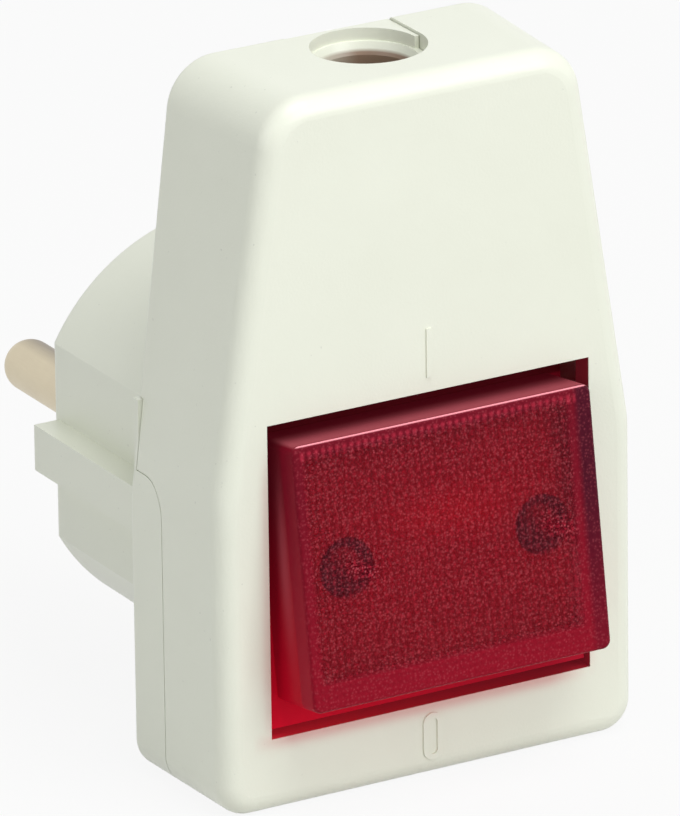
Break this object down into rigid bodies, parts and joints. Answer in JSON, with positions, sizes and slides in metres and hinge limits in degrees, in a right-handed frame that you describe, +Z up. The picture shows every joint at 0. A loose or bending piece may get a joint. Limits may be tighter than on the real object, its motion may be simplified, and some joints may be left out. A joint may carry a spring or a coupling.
{
  "type": "angled mains plug with switch",
  "caption": "Right-angle earthed mains plug with round pins, a cord entry in its top and a lit rocker switch in its front.",
  "frame": {"origin": "centre of the engagement face, halfway between the two pins", "axes": "+Y out of the engagement face along the pins, +Z up towards the cord entry, X across the plug"},
  "size_m": [0.0424, 0.0626, 0.0648],
  "materials": {
    "white_plastic": "warm white, smooth satin moulding",
    "red_lens": "deep translucent red, polished",
    "base_plastic": "off-white heat-resisting moulding",
    "brass": "bright rolled strip",
    "contact_silver": "dull silver",
    "nickel": "nickel-plated brass, worn satin",
    "steel": "zinc-plated",
    "lamp_glass": "clear thin glass",
    "tinned_wire": "tinned copper",
    "resistor_body": "tan lacquer"
  },
  "bodies": {
    "housing": {"front_cover": "white_plastic", "rear_housing": "white_plastic", "switch_base": "base_plastic", "base_screw": "steel", "earth_strap": "brass", "earth_link": "brass", "earth_terminal_block": "brass", "terminal_screws": "steel", "neon_lamp": "lamp_glass", "lamp_leads": "tinned_wire", "series_resistor": "resistor_body", "cord_clamp": "base_plastic", "clamp_screws": "steel", "cover_screws": "steel", "left_fixed_contact_tip": "contact_silver", "left_fixed_contact_strip": "brass", "left_seesaw_support": "brass", "left_pin": "nickel", "left_terminal_block": "brass", "right_fixed_contact_tip": "contact_silver", "right_fixed_contact_strip": "brass", "right_seesaw_support": "brass", "right_pin": "nickel", "right_terminal_block": "brass"},
    "rocker": {"rocker": "red_lens", "left_plunger_spring": "steel", "right_plunger_spring": "steel"},
    "left_plunger": {"left_plunger": "base_plastic"},
    "right_plunger": {"right_plunger": "base_plastic"},
    "left_seesaw": {"left_seesaw_contact": "brass", "left_moving_contact": "contact_silver"},
    "right_seesaw": {"right_seesaw_contact": "brass", "right_moving_contact": "contact_silver"}
  },
  "joints": [
    {"name": "rocker_tilt", "type": "hinge", "parent": "housing", "child": "rocker", "pos_m": [0, -0.0336, -0.0014], "axis": [1, 0, 0], "range_deg": [0, 16.8]},
    {"name": "left_seesaw_tilt", "type": "hinge", "parent": "housing", "child": "left_seesaw", "pos_m": [-0.0098, -0.02678, -0.0014], "axis": [1, 0, 0], "range_deg": [-20.16, 0]},
    {"name": "left_plunger_slide", "type": "slide", "parent": "rocker", "child": "left_plunger", "axis": [0, -0.9893, 0.1461], "range_m": [0, 0.0006], "stiffness_N_per_m": 500, "deforming": ["left_plunger_spring"]},
    {"name": "right_seesaw_tilt", "type": "hinge", "parent": "housing", "child": "right_seesaw", "pos_m": [0.0098, -0.02678, -0.0014], "axis": [1, 0, 0], "range_deg": [-20.16, 0]},
    {"name": "right_plunger_slide", "type": "slide", "parent": "rocker", "child": "right_plunger", "axis": [0, -0.9893, 0.1461], "range_m": [0, 0.0006], "stiffness_N_per_m": 500, "deforming": ["right_plunger_spring"]}
  ],
  "couplings": [
    {"joint": "left_seesaw_tilt", "follows": "rocker_tilt", "ratio": -1.2},
    {"joint": "right_seesaw_tilt", "follows": "rocker_tilt", "ratio": -1.2}
  ]
}
